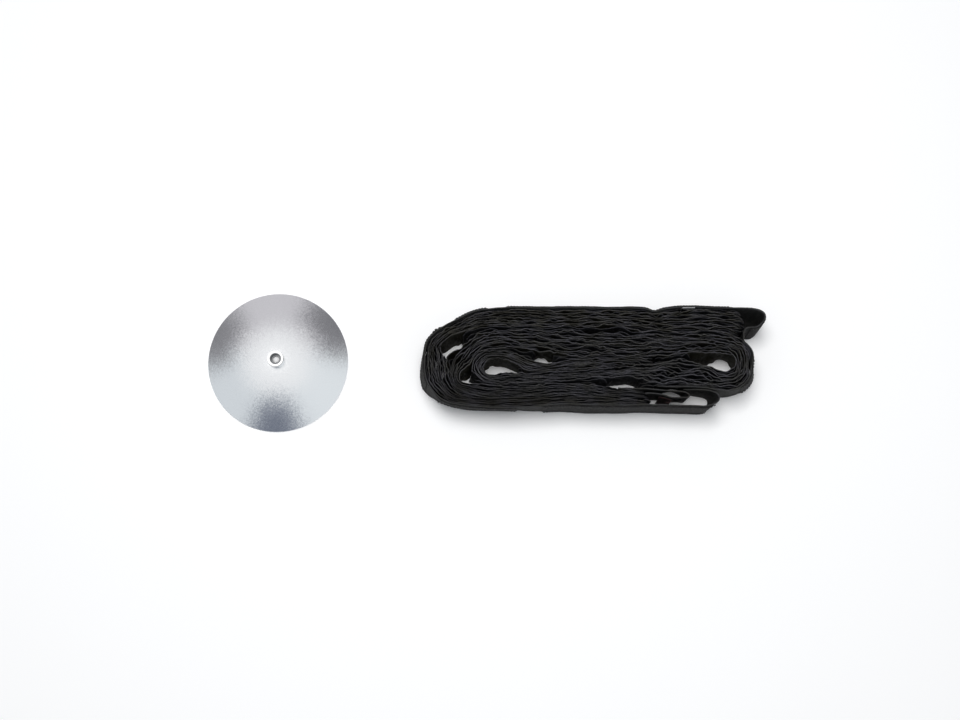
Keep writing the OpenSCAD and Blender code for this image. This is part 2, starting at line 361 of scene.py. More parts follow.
def sideways(line):
    """The unit direction to the left of a line at each of its points."""
    sides = []
    for i in range(len(line)):
        along = line[min(i + 1, len(line) - 1)] - line[max(i - 1, 0)]
        sides.append(Vector((-along.y, along.x)).normalized())
    return sides


def tree_of(points):
    """Points of the floor plan, to be asked which of them is near."""
    tree = kdtree.KDTree(len(points))
    for i, point in enumerate(points):
        tree.insert(point.to_3d(), i)
    tree.balance()
    return tree


def clamp(value, low=0.0, high=1.0):
    """The value, kept between two limits."""
    return max(low, min(high, value))


def ease(value):
    """A smooth step from 0 to 1."""
    share = clamp(value)
    return share * share * (3 - 2 * share)


# ---------------------------------------------------------------- how the cloth has settled

def from_bundle(x, y):
    """The frame's place for millimetres from the folded grid's origin."""
    return BUNDLE + Vector((x, y)) * MM


def in_bundle(x, y):
    """A place of the frame in millimetres from the folded grid's origin."""
    return (x - BUNDLE.x) / MM, (y - BUNDLE.y) / MM


def away_from(zone, x, y):
    """The squared distance of a place from a zone's middle, in the zone's reaches."""
    here_x, here_y = in_bundle(x, y)
    near_x, near_y, reach_x, reach_y = zone
    return ((here_x - near_x) / reach_x) ** 2 + ((here_y - near_y) / reach_y) ** 2


def stillness(x, y):
    """The share of their movement that the strips lose at a place, where the bundle lies calm."""
    return CALM_SHARE * math.exp(-away_from(CALM, x, y))


def in_an_eye(point):
    """Whether a point lies where the folds gape."""
    return any(away_from(eye, point.x, point.y) < 1 for eye in EYES)


def lean_at(x, y, share):
    """How far the cloth leans along x and y at a share of its height."""
    here_x, here_y = in_bundle(x, y)
    dx = dy = 0.0
    for near_x, near_y, reach_x, reach_y, foot, top in LEANS:
        away_x = (here_x - near_x) / reach_x
        away_y = (here_y - near_y) / reach_y
        away = away_x * away_x + away_y * away_y
        if away < LEAN_END:
            weight = math.exp(-away) * MM
            dx += weight * (foot[0] * (1 - share) + top[0] * share)
            dy += weight * (foot[1] * (1 - share) + top[1] * share)
    return dx, dy


def noise_place(folds, x, y, z):
    """Where in the noise a layer of folds looks for a point."""
    return Vector((x, y, folds.upward * z)) / folds.reach + Vector(folds.start)


def settled(x, y, z, limp=1.0):
    """Where a point of the upright cloth lies once the bundle has leaned and crumpled."""
    share = z / STRIP_H
    dx, dy = lean_at(x, y, share)
    wide, fine, edge, fray = (noise.noise_vector(noise_place(folds, x, y, z))
                              for folds in (WANDER, CRUMPLE, EDGE_CRUMPLE, FRAY))
    restless = noise.noise(Vector((x, y, UNREST_LEVEL)) / UNREST_REACH)
    unrest = UNREST_LEAST + ease(0.5 + UNREST_SPREAD * restless)
    unrest *= 1 - stillness(x, y)
    near_edge = unrest * EDGE_CRUMPLE.shift * ease((share - EDGE_SHARE) / (1 - EDGE_SHARE))
    shift = WANDER.shift * wide + limp * (CRUMPLE.shift * fine + near_edge * edge + FRAY.shift * fray)
    swell = noise.noise(noise_place(EDGE_RISE, x, y, z))
    rise = limp * (EDGE_RISE.shift * swell + FRAY.shift * fray.z)
    return Vector((x + dx + shift.x, y + dy + shift.y, max(0, z + rise * share)))


class Room:
    """All the upright cloth, so that a strip can ask how near its neighbours stand."""

    def __init__(self, lines):
        self.owners = [(name, i) for name, line in lines.items() for i in range(len(line))]
        self.tree = tree_of([lines[name][i] for name, i in self.owners])

    def beside(self, name, i, point, side):
        """The nearest cloth to the left and to the right of a station: (distance, owner)."""
        ahead = Vector((side.y, -side.x))
        nearest = [(WIDE_ROOM, None), (WIDE_ROOM, None)]
        for place, index, _ in self.tree.find_range(point.to_3d(), WIDE_ROOM):
            owner = self.owners[index]
            away = place.xy - point
            itself = owner[0] == name and abs(owner[1] - i) * STEP < OWN_STRETCH
            if itself or abs(away.dot(ahead)) > ABREAST:
                continue
            across = away.dot(side)
            which = 0 if across > 0 else 1
            if abs(across) < nearest[which][0]:
                nearest[which] = (abs(across), owner)
        return nearest


# ---------------------------------------------------------------- ribbons on edge

# A mesh in the making: points, faces, (run, height) for each point, and for each face its side.
Shape = namedtuple("Shape", "verts faces uvs sides")


def new_shape():
    """An empty mesh in the making."""
    return Shape([], [], [], [])


def plain_levels(thickness, low, high, count=8):
    """A plain cross-section as (height, shift, half thickness, height on the cloth)."""
    half = thickness / 2
    inside = [(low + (high - low) * k / count, half) for k in range(1, count)]
    foot = [(low, EDGE_LEFT * half), (low + BEVEL, half)]
    top = [(high - BEVEL, half), (high, EDGE_LEFT * half)]
    return [(z, 0.0, width, z) for z, width in foot + inside + top]


def lowered(levels, scale):
    """A cross-section that has sunk to a share of its height."""
    return [(z * scale, shift, half, cloth_z) for z, shift, half, cloth_z in levels]


def hemmed_levels(hem_t):
    """A strip's cross-section as (height on the cloth, half thickness), hemmed at both edges."""
    half, hem = CLOTH_T / 2, hem_t / 2
    below = [(0, EDGE_LEFT * hem), (BEVEL, hem), (HEM_H, hem), (HEM_H + BEVEL, half)]
    middle = [(share * STRIP_H, half) for share in WALL_LEVELS]
    above = [(STRIP_H - HEM_H - BEVEL, half), (STRIP_H - HEM_H, hem),
             (STRIP_H - 0.5 * HEM_H, hem), (STRIP_H - BEVEL, hem), (STRIP_H, HEM_TOP_LEFT * hem)]
    return below + middle + above


def ripple(at, reach, row, level):
    """Smooth noise along a strip, whose row and level keep it apart from the others."""
    return noise.noise(Vector((at / reach, row, level)))


def strip_sink(run, i, lane, pitch):
    """How far a strip's top edge sinks at a station, for its distance to its neighbours."""
    tight = 1 - clamp((pitch - TIGHT_PITCH[0]) / (TIGHT_PITCH[1] - TIGHT_PITCH[0]))
    unrest = 0.5 + ripple(run[i], SINK_RUN, SINK_ROWS * lane, SINK_LEVEL)
    sink = OPEN_SINK * ease(unrest) + TIGHT_SINK * tight * ease(0.5 + TIGHT_STEP * (unrest - 0.5))
    sink += NICK_SINK * abs(ripple(run[i], NICK_RUN, NICK_ROWS * lane, NICK_LEVEL))
    sink += END_SINK * (1 - ease(to_end(run, i) / END_REACH))
    return sink


def strip_sway(at, lane, z):
    """How a strip sways at a height, from -1, all its room to the right, to 1, all to the left."""
    sway = ripple(at, SWAY_RUN, SWAY_ROWS * lane, z / SWAY_HEIGHT)
    kink = ripple(at, KINK_RUN, KINK_ROWS * lane, z / SWAY_HEIGHT)
    return clamp(SWAY_GAIN * (sway + KINK_SHARE * kink), -1, 1)


def strip_sections(name, line, room, lane):
    """A strip's cross-section at each station: it sways between its neighbours and sinks."""
    side = sideways(line)
    run = runs(line)
    sections = []
    for i, point in enumerate(line):
        (left, _), (right, _) = room.beside(name, i, point, side[i])
        pitch = (min(left, WIDEST_PITCH) + min(right, WIDEST_PITCH)) / 2
        sink = strip_sink(run, i, lane, pitch)
        hem_t = clamp(0.5 * min(left, right), CLOTH_T, HEM_T)
        loose = 0.5 * SWAY_SHARE * (1 - stillness(point.x, point.y))
        levels = []
        for cloth_z, half in hemmed_levels(hem_t):
            z = cloth_z * (1 - sink / STRIP_H)
            sway = strip_sway(run[i], lane, z)
            free = (left if sway > 0 else right) - HEM_T
            levels.append((z, loose * sway * clamp(free, 0, SWAY_MOST), half, cloth_z))
        sections.append(levels)
    return sections


def add_ribbon(shape, line, sections, limp=1.0):
    """Adds a closed ribbon along a line, with a cross-section from foot to top at each station."""
    first = len(shape.verts)
    side = sideways(line)
    run = runs(line)
    for i, (point, levels) in enumerate(zip(line, sections)):
        left, right = [], []
        for z, shift, half, _ in levels:
            centre = settled(point.x + side[i].x * shift, point.y + side[i].y * shift, z, limp)
            out = (side[i] * half).to_3d()
            left.append(centre + out)
            right.append(centre - out)
        shape.verts.extend(left + right[::-1])
        heights = [level[3] for level in levels]
        shape.uvs.extend((run[i], height) for height in heights + heights[::-1])
    height_count = len(sections[0])
    ring = 2 * height_count
    for i in range(len(line) - 1):
        for k in range(ring):
            a = first + i * ring + k
            b = first + i * ring + (k + 1) % ring
            shape.faces.append((a, b, b + ring, a + ring))
            shape.sides.append(0 if k < height_count else 1)
    start = list(range(first, first + ring))
    end = [first + (len(line) - 1) * ring + k for k in range(ring)]
    shape.faces.extend([tuple(reversed(start)), tuple(end)])
    shape.sides.extend([0, 0])


def make_piece(name, shape, materials, body="grid"):
    """A mesh object of ribbons, with its run and height kept as texture coordinates."""
    mesh = bpy.data.meshes.new(name)
    mesh.from_pydata(shape.verts, [], shape.faces)
    layer = mesh.uv_layers.new(name="Cloth")
    for loop in mesh.loops:
        layer.data[loop.index].uv = shape.uvs[loop.vertex_index]
    for material in materials:
        mesh.materials.append(material)
    for face, side in zip(mesh.polygons, shape.sides):
        face.use_smooth = True
        face.material_index = min(side, len(materials) - 1)
    mesh.validate()
    piece = bpy.data.objects.new(name, mesh)
    bpy.context.scene.collection.objects.link(piece)
    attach(piece, body)
    return piece


# ---------------------------------------------------------------- materials

# How fast the noise of cloth changes, per metre: its uneven dye, its lint, the places where its
# pale top edge, worn and with painted sheen, is dimmer, and the streaks of ribbed cloth along it and up
# it.
DYE_SCALE = 260.0
LINT_SCALE = 900.0
DIMMER_EDGE_SCALE = 60.0
STREAK_SCALE = (420.0, 110.0, 0.0)

# How far under a strip's top the pale edge starts and is full: partly wear, partly painted sheen where
# the top edge catches the light.
WORN_SHEEN_START = 1.8 * MM
WORN_SHEEN_FULL = 0.1 * MM

# How deep the relief of a weave is.
WEAVE_RELIEF = 0.1 * MM

WHITE = (1, 1, 1)
# Painted shade for the metal inside the hub's socket recess.
SOCKET_SHADE_PAINT = (0.23, 0.235, 0.24)


def new_material(name):
    """A material with its node tree and its shader."""
    material = bpy.data.materials.new(name)
    material.use_nodes = True
    shader = material.node_tree.nodes["Principled BSDF"]
    return material, material.node_tree, shader


def add_node(tree, kind, inputs=None, **settings):
    """Adds a node, sets its properties, and sets or links its inputs by name or number."""
    node = tree.nodes.new(kind)
    for name, value in settings.items():
        setattr(node, name, value)
    for name, value in (inputs or {}).items():
        if isinstance(value, bpy.types.NodeSocket):
            tree.links.new(value, node.inputs[name])
        else:
            node.inputs[name].default_value = value
    return node


def math_node(tree, operation, a, b=0.0):
    """The result of a sum on numbers."""
    return add_node(tree, "ShaderNodeMath", {0: a, 1: b}, operation=operation).outputs[0]


def vector_node(tree, operation, a, b=(0, 0, 0)):
    """The result of a sum on vectors, which is a number for a length and a dot product."""
    node = add_node(tree, "ShaderNodeVectorMath", {0: a, 1: b}, operation=operation)
    return node.outputs["Value" if operation in ("LENGTH", "DOT_PRODUCT") else "Vector"]


def map_range(tree, value, low, high, to_low=0.0, to_high=1.0, kind="LINEAR"):
    """A value carried from one range to another and kept within it."""
    inputs = {"Value": value, "From Min": low, "From Max": high, "To Min": to_low, "To Max": to_high}
    return add_node(tree, "ShaderNodeMapRange", inputs, interpolation_type=kind).outputs[0]


def opaque(colour):
    """A (red, green, blue) colour with its alpha, or a socket as it is."""
    return colour if isinstance(colour, bpy.types.NodeSocket) else (*colour, 1)


def blend_colours(tree, share, low, high):
    """A mix of two colours. The node has them on sockets 6 and 7, and the result on 2."""
    inputs = {0: share, 6: opaque(low), 7: opaque(high)}
    return add_node(tree, "ShaderNodeMix", inputs, data_type="RGBA").outputs[2]


def speckle(tree, coordinates, scale, detail=2.0):
    """Noise from 0 to 1, whose scale is its changes per unit of the coordinates."""
    return add_node(tree, "ShaderNodeTexNoise",
                    {"Vector": coordinates, "Scale": scale, "Detail": detail}).outputs["Fac"]


def woven(tree, run, height, thread):
    """Crossing threads, from -1 to 1."""
    turns = math.tau / thread
    warp = math_node(tree, "SINE", math_node(tree, "MULTIPLY", run, turns))
    weft = math_node(tree, "SINE", math_node(tree, "MULTIPLY", height, turns))
    return math_node(tree, "MULTIPLY", warp, weft)


def dyed(tree, place, weave, streaks, dark, light):
    """Cloth's own colour, from dark to light by its uneven dye, its streaks and its threads."""
    uneven = map_range(tree, speckle(tree, place["Object"], DYE_SCALE, 5.0), 0.30, 0.70)
    rows = vector_node(tree, "MULTIPLY", place["UV"], STREAK_SCALE)
    rows = map_range(tree, speckle(tree, rows, 1.0, 1.0), 0.35, 0.65, -streaks, streaks)
    threads = map_range(tree, weave, -1.0, 1.0, -0.25, 0.25)
    share = math_node(tree, "ADD", math_node(tree, "ADD", uneven, rows), threads)
    return blend_colours(tree, share, dark, light)


def worn_sheen_share(tree, height, lint):
    """How much of the pale top edge shows at a height on the cloth, in patches. It is partly wear and
    partly painted sheen.
    """
    near_top = map_range(tree, height, STRIP_H - WORN_SHEEN_START, STRIP_H - WORN_SHEEN_FULL)
    return math_node(tree, "MULTIPLY", near_top, map_range(tree, lint, 0.35, 0.62, 0.25, 1.0))


def cloth_material(name, dark, light, edge, dimmer_edge, thread=0.45 * MM, roughness=0.85, bump=0.5,
                   streaks=0.0):
    """Woven cloth: crossing threads, uneven dye, lint, and a paler top edge, partly wear and partly
    painted sheen, dimmer in places.

    Streaks from edge to edge are the rows of hooks, and painted highlight where the ribs catch the
    light.
    """
    material, tree, shader = new_material(name)
    place = add_node(tree, "ShaderNodeTexCoord").outputs
    run, height, _ = add_node(tree, "ShaderNodeSeparateXYZ", {0: place["UV"]}).outputs
    weave = woven(tree, run, height, thread)
    lint = speckle(tree, place["Object"], LINT_SCALE, 3.0)
    dimmer_patches = map_range(tree, speckle(tree, place["Object"], DIMMER_EDGE_SCALE), 0.40, 0.60)
    # The top edge turns pale: partly wear, partly painted sheen.
    colour = blend_colours(tree, worn_sheen_share(tree, height, lint),
                           dyed(tree, place, weave, streaks, dark, light),
                           blend_colours(tree, dimmer_patches, edge, dimmer_edge))
    tree.links.new(colour, shader.inputs["Base Color"])
    surface = math_node(tree, "ADD", math_node(tree, "MULTIPLY", weave, 0.5), lint)
    relief = add_node(tree, "ShaderNodeBump",
                      {"Height": surface, "Strength": bump, "Distance": WEAVE_RELIEF})
    tree.links.new(relief.outputs[0], shader.inputs["Normal"])
    shader.inputs["Roughness"].default_value = roughness
    shader.inputs["Specular IOR Level"].default_value = 0.2
    return material


def metal_material(name, dark, light, low_rough, high_rough, grain, glint, metallic=1.0):
    """Metal of fine grains, each of which differs in colour and gloss and tilts a little."""
    material, tree, shader = new_material(name)
    place = add_node(tree, "ShaderNodeTexCoord").outputs["Object"]
    uneven = speckle(tree, place, 0.7 * grain, 1.0)
    tree.links.new(blend_colours(tree, uneven, dark, light), shader.inputs["Base Color"])
    tree.links.new(map_range(tree, uneven, 0.3, 0.7, low_rough, high_rough), shader.inputs["Roughness"])
    cells = add_node(tree, "ShaderNodeTexVoronoi", {"Vector": place, "Scale": grain})
    tilt = vector_node(tree, "SUBTRACT", cells.outputs["Color"], (0.5, 0.5, 0.5))
    tilt = vector_node(tree, "MULTIPLY", tilt, (glint, glint, glint))
    normal = add_node(tree, "ShaderNodeNewGeometry").outputs["Normal"]
    tilted = vector_node(tree, "NORMALIZE", vector_node(tree, "ADD", normal, tilt))
    tree.links.new(tilted, shader.inputs["Normal"])
    shader.inputs["Metallic"].default_value = metallic
    return material


def paint_socket_shade(material):
    """Paints shade on a material inside the hub's socket, darkening the metal in the recess."""
    tree = material.node_tree
    base = tree.nodes["Principled BSDF"].inputs["Base Color"]
    low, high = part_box("hub")
    middle = (low + high) / 2
    socket_r = frame["record"]["mounts"][0]["dims"]["r_mm"] * MM
    place = add_node(tree, "ShaderNodeTexCoord").outputs["Object"]
    away = vector_node(tree, "SUBTRACT", place, (middle.x, middle.y, 0))
    radius = vector_node(tree, "LENGTH", vector_node(tree, "MULTIPLY", away, (1, 1, 0)))
    # Painted shade: the metal turns darker inside the socket's radius.
    inside = map_range(tree, radius, socket_r + 0.02 * MM, socket_r + 0.08 * MM, 1.0, 0.0)
    outside_colour = base.links[0].from_socket
    tree.links.new(blend_colours(tree, inside, outside_colour, SOCKET_SHADE_PAINT), base)


# The third colour of each cloth is its pale top edge, partly wear and partly painted sheen; the fourth
# is a dimmer tone of it.
NYLON = cloth_material("nylon", (0.010, 0.010, 0.0115), (0.026, 0.026, 0.030),
                       (0.096, 0.095, 0.108), (0.080, 0.079, 0.076))
LINING = cloth_material("lining", (0.014, 0.013, 0.009), (0.034, 0.031, 0.021),
                        (0.090, 0.088, 0.096), (0.070, 0.068, 0.061))
WEBBING = cloth_material("webbing", (0.014, 0.014, 0.014), (0.024, 0.024, 0.023),
                         (0.055, 0.055, 0.058), (0.044, 0.043, 0.040),
                         thread=0.9 * MM, bump=0.9, streaks=0.35)
HOOKS = cloth_material("hooks", (0.007, 0.0067, 0.0067), (0.026, 0.025, 0.0245),
                       (0.050, 0.048, 0.049), (0.036, 0.035, 0.033),
                       thread=RIB_PITCH, bump=1.0, streaks=0.5)
CURL = cloth_material("curl_cloth", (0.016, 0.007, 0.007), (0.036, 0.016, 0.016),
                      (0.060, 0.036, 0.037), (0.050, 0.034, 0.032))
THREAD = cloth_material("sewing_thread", (0.020, 0.020, 0.020), (0.050, 0.050, 0.050),
                        (0.055, 0.055, 0.055), (0.045, 0.045, 0.045), thread=0.2 * MM)
LABEL = cloth_material("label_satin", (0.74, 0.74, 0.76), (0.84, 0.84, 0.86),
                       (0.88, 0.88, 0.90), (0.82, 0.82, 0.82),
                       thread=0.25 * MM, roughness=0.5, bump=0.2)
SATIN = metal_material("satin_aluminium", (0.90, 0.905, 0.91), (0.96, 0.965, 0.97),
                       low_rough=0.17, high_rough=0.22, grain=1050.0, glint=0.055)
NICKEL = metal_material("bright_nickel", (0.93, 0.93, 0.93), (0.99, 0.99, 0.99),
                        low_rough=0.12, high_rough=0.22, grain=2500.0, glint=0.02)
RIVET = metal_material("bright_rivet", (0.96, 0.96, 0.96), (1.0, 1.0, 1.0),
                       low_rough=0.40, high_rough=0.50, grain=2500.0, glint=0.02, metallic=0.0)
ZINC = metal_material("zinc_washer", (0.50, 0.52, 0.54), (0.74, 0.75, 0.76),
                      low_rough=0.35, high_rough=0.55, grain=900.0, glint=0.06)


# ---------------------------------------------------------------- metal pieces

def finish_metal():
    """The CAD solids of the dish are kept, and get their metals."""
    for node, material in (("deflector_dish", SATIN), ("hub", NICKEL), ("hub_rivet", RIVET),
                           ("backing_washer", ZINC)):
        mesh = frame["nodes"][node].data
        mesh.materials.clear()
        mesh.materials.append(material)
    # The hub's socket gets painted shade.
    paint_socket_shade(NICKEL)


# ---------------------------------------------------------------- strips of the grid

def strip_lines(kind, start, longer, band_tree):
    """Each strip's line, run on at its first end by so many millimetres, but short of the band."""
    lines = {}
    for node in nodes_of(kind + "_strip_"):
        line = middle_line(node, start)
        ahead = (line[0] - line[1]).normalized() * MM
        for _ in range(longer):
            if band_tree.find((line[0] + ahead).to_3d())[2] > BAND_ROOM:
                line[0] += ahead
        lines[node] = smooth(line, STEP)
    return lines


def make_strips(lines, room, materials, first_lane):
    """The strips that stand for CAD solids, each in a lane of its own."""
    for lane, (node, line) in enumerate(lines.items(), first_lane):
        shape = new_shape()
        add_ribbon(shape, line, strip_sections(node, line, room, lane))
        piece = make_piece("fabric_" + node, shape, materials)
        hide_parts(node)


def open_stretches(name, line, room):
    """Runs of stations where the cloth beside a strip leaves an open cell, each cell once."""
    side = sideways(line)
    stretches = []
    for which, sign in ((0, 1), (1, -1)):
        stretch = []
        for i, point in enumerate(line):
            distance, owner = room.beside(name, i, point, side[i])[which]
            middle = point + side[i] * sign * distance / 2
            is_open = owner and CELL_LEAST < distance < CELL_MOST
            if is_open and (name, i) < owner and not in_an_eye(middle):
                stretch.append((point, side[i] * sign * distance))
            else:
                stretches.append(stretch)
                stretch = []
        stretches.append(stretch)
    return [stretch for stretch in stretches if len(stretch) >= CELL_STATIONS]


def swinging_path(stretch, lane_middle, lane_width, chance):
    """A path that swings from side to side in its lane of an open cell."""
    phase = chance.uniform(0, math.tau)
    wave = chance.uniform(*CROSS_WAVE) * MM
    path = []
    for k, (point, across) in enumerate(stretch):
        swing = max(0, across.length * lane_width - CLOTH_T - 2 * CROSS_T) / across.length / 2
        share = lane_middle + CROSS_SWING * swing * math.sin(math.tau * k * STEP / wave + phase)
        path.append(point + across * share)
    return smooth(path[::2] + [path[-1]], CROSS_STEP)


def add_cross_strip(shape, path, chance):
    """Adds one cross strip along its path, and gives its length."""
    run = runs(path)
    high = STRIP_H - chance.uniform(*CROSS_DROP) * MM
    depth = chance.uniform(*CROSS_DEPTH) * MM
    row = chance.uniform(*CROSS_ROWS)
    plain = plain_levels(CROSS_T, 0, STRIP_H, CROSS_LEVELS)
    sections = []
    for i, at in enumerate(run):
        sink = depth * ease(0.5 + ripple(at, SINK_RUN, row, CROSS_LEVEL))
        sink += NICK_SINK * abs(ripple(at, NICK_RUN, row, NICK_LEVEL))
        sink += CROSS_END_SINK * (1 - ease(to_end(run, i) / CROSS_END_REACH))
        sections.append(lowered(plain, (high - sink) / STRIP_H))
    add_ribbon(shape, path, sections)
    return run[-1]


def make_cross_strips(name, lines, room, seed):
    """The grid's other strips: they cross from wall to wall in the cells between two strips."""
    chance = random.Random(seed)
    shape = new_shape()
    total = 0.0
    for node, line in lines.items():
        for stretch in open_stretches(node, line, room):
            widest = max(across.length for _, across in stretch)
            folds = 1 if widest < CELL_WIDE else 2
            for fold in range(folds):
                path = swinging_path(stretch, (fold + 0.5) / folds, 1 / folds, chance)
                total += add_cross_strip(shape, path, chance)
    piece = make_piece(name, shape, [NYLON])


# ---------------------------------------------------------------- band, tape, loop and label

def make_band(line):
    """The webbing band, whose two ends are tucked down among the strips."""
    run = runs(line)
    plain = plain_levels(BAND_T, 0, STRIP_H)
    sections = []
    for i in range(len(line)):
        scale = 1 - TUCK_SINK / STRIP_H * (1 - ease(to_end(run, i) / TUCK_REACH))
        sections.append(lowered(plain, scale))
    shape = new_shape()
    add_ribbon(shape, line, sections, STIFF)
    piece = make_piece("band_webbing", shape, [WEBBING])
    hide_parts("edge_band")


def make_tape(node, band_tree):
    """Hook tape outside the band, with its rows of hooks as ribs, and the thread that sews it on."""
    low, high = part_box(node)
    line = smooth(middle_line(node, BUNDLE), RIB_PITCH / 2)
    run = runs(line)
    sections = []
    for i in range(len(line)):
        thickness = TAPE_T + (RIB_DEPTH if i % 2 else -RIB_DEPTH)
        thickness *= TAPE_END_SHARE + (1 - TAPE_END_SHARE) * ease(to_end(run, i) / TAPE_TAPER)
        sections.append(plain_levels(thickness, low.z, high.z))
    shape = new_shape()
    add_ribbon(shape, line, sections, STIFF)
    piece = make_piece("ribbed_" + node, shape, [HOOKS])
    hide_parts(node)
    make_stitches("stitches_" + node, line, low.z, high.z, band_tree)


def make_stitches(name, line, low, high, band_tree):
    """Two rows of stitches on a tape's outer face, near its edges."""
    shape = new_shape()
    side = sideways(line)
    run = runs(line)
    per_stitch = len(STITCH_WIDTHS)
    for z in (low + STITCH_INSET, high - STITCH_INSET):
        for i in range(per_stitch // 2, len(line) - 1 - per_stitch, per_stitch):
            on_band = band_tree.find(line[i].to_3d())[0].xy
            out = side[i] if (line[i] - on_band).dot(side[i]) > 0 else -side[i]
            stations = list(zip(line[i:], run[i:], STITCH_WIDTHS))
            add_stitch(shape, stations, out, z)
    piece = make_piece(name, shape, [THREAD])


def add_stitch(shape, stations, out, z):
    """Adds one raised length of thread. Each station is (point of the tape, run, width)."""
    corners = 4
    first = len(shape.verts)
    last = first + corners * (len(stations) - 1)
    face = out * (TAPE_T / 2 + STITCH_PROUD * STITCH_T)
    for point, run, width in stations:
        middle = settled(point.x + face.x, point.y + face.y, z, STIFF)
        across = (out * STITCH_T * width).to_3d()
        up = Vector((0, 0, STITCH_T * width / 2))
        shape.verts.extend([middle - across - up, middle + across - up,
                            middle + across + up, middle - across + up])
        shape.uvs.extend([(run, z)] * corners)
    for ring in range(first, last, corners):
        for c in range(corners):
            a, b = ring + c, ring + (c + 1) % corners
            shape.faces.append((a, b, b + corners, a + corners))
    shape.faces.append(tuple(first + c for c in reversed(range(corners))))
    shape.faces.append(tuple(last + c for c in range(corners)))
    shape.sides.extend([0] * (len(shape.faces) - len(shape.sides)))


def make_plain_ribbon(node, name, thickness, material, left_out=0.0):
    """A plain ribbon in a node's place, without the first stretch of it that is tucked away."""
    low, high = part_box(node)
    line = smooth(middle_line(node, BUNDLE), STEP)
    line = line[round(left_out / STEP):]
    shape = new_shape()
    add_ribbon(shape, line, [plain_levels(thickness, low.z, high.z)] * len(line), STIFF)
    piece = make_piece(name, shape, [material])
    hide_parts(node)


# ---------------------------------------------------------------- stage, light and camera

# The floor shines a little by itself near the set, and more from the first distance to the second.
FLOOR_HALF = 4.0
FLOOR_DROP = 0.05 * MM
FLOOR_COLOUR = (0.80, 0.80, 0.80)
FLOOR_GLOW = 0.05
FLOOR_FADE = (0.6, 2.0)

# The light that the world gives to cloth, as a share of what metal mirrors.
WORLD_SHARE = 0.55

# The soft boxes of the world: a bright spot in the middle, the box overhead, and those around it.
SPOT = (1.4, 1.4, 1.4)
OVERHEAD = (0.89, 0.90, 0.915)
BEHIND = (0.585, 0.575, 0.605)
LEFT = (0.66, 0.70, 0.735)
RIGHT = (0.76, 0.80, 0.83)
HORIZON = (0.42, 0.43, 0.44)

# Where the spot gives way to the box overhead, that box to those around it, and they to the
# horizon, as the start and the end of the change in millimetres from the dome's middle.
SPOT_END = (5, 8)
OVERHEAD_END = (20, 44)
BOXES_END = (78, 100)

# Each dark gap between the boxes: its heading, half its width with and without its soft sides, all
# in degrees, the distances in millimetres at which it starts and is full, and its colour.
GAPS = [
    (34, 41, 5, 34, 54, (0.19, 0.19, 0.205)),
    (157, 38, 5, 34, 54, (0.22, 0.22, 0.235)),
    (269, 30, 3, 24, 52, (0.15, 0.17, 0.22)),
]


def rays(tree):
    """Two sockets: 1 for what the camera sees, and 1 for what it sees itself or in a mirror."""
    path = add_node(tree, "ShaderNodeLightPath").outputs
    in_view = math_node(tree, "MAXIMUM", path["Is Camera Ray"], path["Is Glossy Ray"])
    return path["Is Camera Ray"], in_view


def make_floor():
    """A pale floor that is plain white in view and keeps the set's shadows."""
    half = FLOOR_HALF
    mesh = bpy.data.meshes.new("floor")
    mesh.from_pydata([(-half, -half, 0), (half, -half, 0), (half, half, 0), (-half, half, 0)],
                     [], [(0, 1, 2, 3)])
    floor = bpy.data.objects.new("floor", mesh)
    floor.location.z = -FLOOR_DROP
    bpy.context.scene.collection.objects.link(floor)
    material, tree, _ = new_material("pale_floor")
    _, in_view = rays(tree)
    place = add_node(tree, "ShaderNodeTexCoord").outputs["Object"]
    away = vector_node(tree, "LENGTH", place)
    glow = map_range(tree, away, *FLOOR_FADE, FLOOR_GLOW, 1.0, kind="SMOOTHSTEP")
    colour = blend_colours(tree, in_view, FLOOR_COLOUR, WHITE)
    diffuse = add_node(tree, "ShaderNodeBsdfDiffuse", {"Color": colour})
    shine = add_node(tree, "ShaderNodeEmission",
                     {"Strength": math_node(tree, "MULTIPLY", in_view, glow)})
    both = add_node(tree, "ShaderNodeAddShader", {0: diffuse.outputs[0], 1: shine.outputs[0]})
    tree.links.new(both.outputs[0], tree.nodes["Material Output"].inputs["Surface"])
    mesh.materials.append(material)


def mirror_place(tree):
    """The place on the dome where the lens would see a direction of the world mirrored.

    It comes as the distance from the dome's middle in millimetres, and as a heading.
    """
    low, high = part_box("deflector_dish")
    rim_r, rise = (high.x - low.x) / 2, high.z - low.z
    dome_r = (rim_r ** 2 + rise ** 2) / (2 * rise) / MM
    to_lens = (bpy.context.scene.camera.location - (low + high) / 2).normalized()
    direction = add_node(tree, "ShaderNodeTexCoord").outputs["Generated"]
    half_way = vector_node(tree, "NORMALIZE", vector_node(tree, "ADD", direction, to_lens))
    place = vector_node(tree, "MULTIPLY", half_way, (dome_r, dome_r, 0))
    return vector_node(tree, "LENGTH", place), vector_node(tree, "NORMALIZE", place)


def soft_boxes(tree, away, heading):
    """The colour of the boxes at a distance from the dome's middle and a heading."""
    to_right, to_back, _ = add_node(tree, "ShaderNodeSeparateXYZ", {0: heading}).outputs
    beside = blend_colours(tree, map_range(tree, to_right, -0.7, 0.7), LEFT, RIGHT)
    behind = map_range(tree, to_back, -0.1, 0.6, kind="SMOOTHSTEP")
    around = blend_colours(tree, behind, beside, BEHIND)
    middle = blend_colours(tree, map_range(tree, away, *SPOT_END), SPOT, OVERHEAD)
    return blend_colours(tree, map_range(tree, away, *OVERHEAD_END, kind="SMOOTHSTEP"), middle, around)


